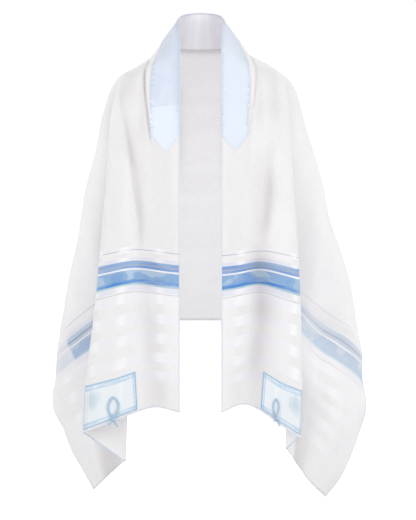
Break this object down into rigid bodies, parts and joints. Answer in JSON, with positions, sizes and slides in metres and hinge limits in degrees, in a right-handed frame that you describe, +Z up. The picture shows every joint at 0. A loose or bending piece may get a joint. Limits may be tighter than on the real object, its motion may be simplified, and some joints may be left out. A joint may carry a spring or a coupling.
{
  "type": "prayer shawl",
  "caption": "Prayer shawl as worn: one sheer rectangular cloth over neck, shoulders and arms, with a satin neckband, nape facing, corner patches and corner loops.",
  "frame": {"origin": "where the wearer's neck holds the shawl: the middle of the neck, level with the shawl's rest on the shoulders beside it", "axes": "+Z up, -Y to the front of the wearer, +X to the wearer's left, which is the right of the picture"},
  "size_m": [0.7203, 0.3614, 1.1231],
  "materials": {
    "silk": "matte",
    "band_satin": "satin",
    "facing_satin": "satin",
    "patch_satin": "satin",
    "cord": "matte"
  },
  "bodies": {
    "root": {"shawl_cloth": "silk", "neck_band": "band_satin", "nape_facing": "facing_satin", "corner_patch_left": "patch_satin", "corner_patch_right": "patch_satin", "corner_loop_left": "cord", "corner_loop_right": "cord"}
  },
  "joints": []
}
